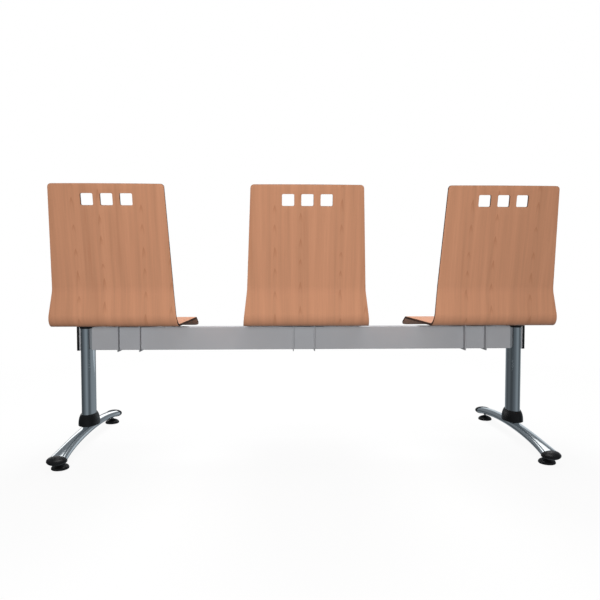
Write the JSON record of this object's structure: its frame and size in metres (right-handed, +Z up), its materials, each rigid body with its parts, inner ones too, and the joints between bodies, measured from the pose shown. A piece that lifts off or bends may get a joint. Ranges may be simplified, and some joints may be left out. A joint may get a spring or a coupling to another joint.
{
  "type": "beam seating",
  "caption": "Row of moulded plywood shell seats on a rectangular steel beam, carried by oval chrome columns with arched feet and screw glides.",
  "frame": {"origin": "on the floor, midway between the two columns and below the middle of the beam", "axes": "+X towards the sitter's left along the beam, +Z up, and the sitters face -Y"},
  "size_m": [1.618, 0.658, 0.8695],
  "materials": {
    "plywood": "satin lacquered beech veneer, with dark laminated edges",
    "powder_coat": "satin silver powder coat",
    "chrome": "polished chrome plate",
    "black_plastic": "fine-grained black plastic",
    "zinc_steel": "bright zinc plate"
  },
  "bodies": {
    "bench": {"beam": "powder_coat", "beam_end_cap_left": "black_plastic", "column_left": "chrome", "column_cap_left": "black_plastic", "beam_support_plate_left": "zinc_steel", "beam_nut_plate_left": "zinc_steel", "collar_left": "black_plastic", "foot_left": "chrome", "foot_saddle_left": "zinc_steel", "foot_plug_left_rear": "black_plastic", "glide_insert_left_rear": "zinc_steel", "foot_plug_left_front": "black_plastic", "glide_insert_left_front": "zinc_steel", "beam_end_cap_right": "black_plastic", "column_right": "chrome", "column_cap_right": "black_plastic", "beam_support_plate_right": "zinc_steel", "beam_nut_plate_right": "zinc_steel", "collar_right": "black_plastic", "foot_right": "chrome", "foot_saddle_right": "zinc_steel", "foot_plug_right_rear": "black_plastic", "glide_insert_right_rear": "zinc_steel", "foot_plug_right_front": "black_plastic", "glide_insert_right_front": "zinc_steel", "leg_bolts": "zinc_steel", "leg_washers": "zinc_steel", "foot_bolts": "zinc_steel", "seat_shell_left": "plywood", "seat_plate_left": "powder_coat", "seat_cheek_left_left": "powder_coat", "seat_cheek_left_right": "powder_coat", "clamp_bar_left": "powder_coat", "clamp_plate_left": "powder_coat", "seat_shell_middle": "plywood", "seat_plate_middle": "powder_coat", "seat_cheek_middle_left": "powder_coat", "seat_cheek_middle_right": "powder_coat", "clamp_bar_middle": "powder_coat", "clamp_plate_middle": "powder_coat", "seat_shell_right": "plywood", "seat_plate_right": "powder_coat", "seat_cheek_right_left": "powder_coat", "seat_cheek_right_right": "powder_coat", "clamp_bar_right": "powder_coat", "clamp_plate_right": "powder_coat", "seat_screws": "zinc_steel", "seat_inserts": "zinc_steel", "clamp_bolts": "zinc_steel"},
    "pad_left_rear": {"glide_pad_left_rear": "black_plastic"},
    "stud_left_rear": {"glide_stud_left_rear": "zinc_steel"},
    "pad_left_front": {"glide_pad_left_front": "black_plastic"},
    "stud_left_front": {"glide_stud_left_front": "zinc_steel"},
    "pad_right_rear": {"glide_pad_right_rear": "black_plastic"},
    "stud_right_rear": {"glide_stud_right_rear": "zinc_steel"},
    "pad_right_front": {"glide_pad_right_front": "black_plastic"},
    "stud_right_front": {"glide_stud_right_front": "zinc_steel"}
  },
  "joints": [
    {"name": "height_left_rear", "type": "slide", "parent": "bench", "child": "pad_left_rear", "axis": [0, 0, -1], "range_m": [-0.002, 0.012]},
    {"name": "screw_left_rear", "type": "hinge", "parent": "pad_left_rear", "child": "stud_left_rear", "pos_m": [0.759, 0.273, 0.01], "axis": [0, 0, -1], "range_deg": [-580, 3460]},
    {"name": "height_left_front", "type": "slide", "parent": "bench", "child": "pad_left_front", "axis": [0, 0, -1], "range_m": [-0.002, 0.012]},
    {"name": "screw_left_front", "type": "hinge", "parent": "pad_left_front", "child": "stud_left_front", "pos_m": [0.759, -0.273, 0.01], "axis": [0, 0, -1], "range_deg": [-580, 3460]},
    {"name": "height_right_rear", "type": "slide", "parent": "bench", "child": "pad_right_rear", "axis": [0, 0, -1], "range_m": [-0.002, 0.012]},
    {"name": "screw_right_rear", "type": "hinge", "parent": "pad_right_rear", "child": "stud_right_rear", "pos_m": [-0.759, 0.273, 0.01], "axis": [0, 0, -1], "range_deg": [-580, 3460]},
    {"name": "height_right_front", "type": "slide", "parent": "bench", "child": "pad_right_front", "axis": [0, 0, -1], "range_m": [-0.002, 0.012]},
    {"name": "screw_right_front", "type": "hinge", "parent": "pad_right_front", "child": "stud_right_front", "pos_m": [-0.759, -0.273, 0.01], "axis": [0, 0, -1], "range_deg": [-580, 3460]}
  ],
  "couplings": [
    {"joint": "screw_left_rear", "follows": "height_left_rear", "rad_per_m": 5026.5},
    {"joint": "screw_left_front", "follows": "height_left_front", "rad_per_m": 5026.5},
    {"joint": "screw_right_rear", "follows": "height_right_rear", "rad_per_m": 5026.5},
    {"joint": "screw_right_front", "follows": "height_right_front", "rad_per_m": 5026.5}
  ]
}
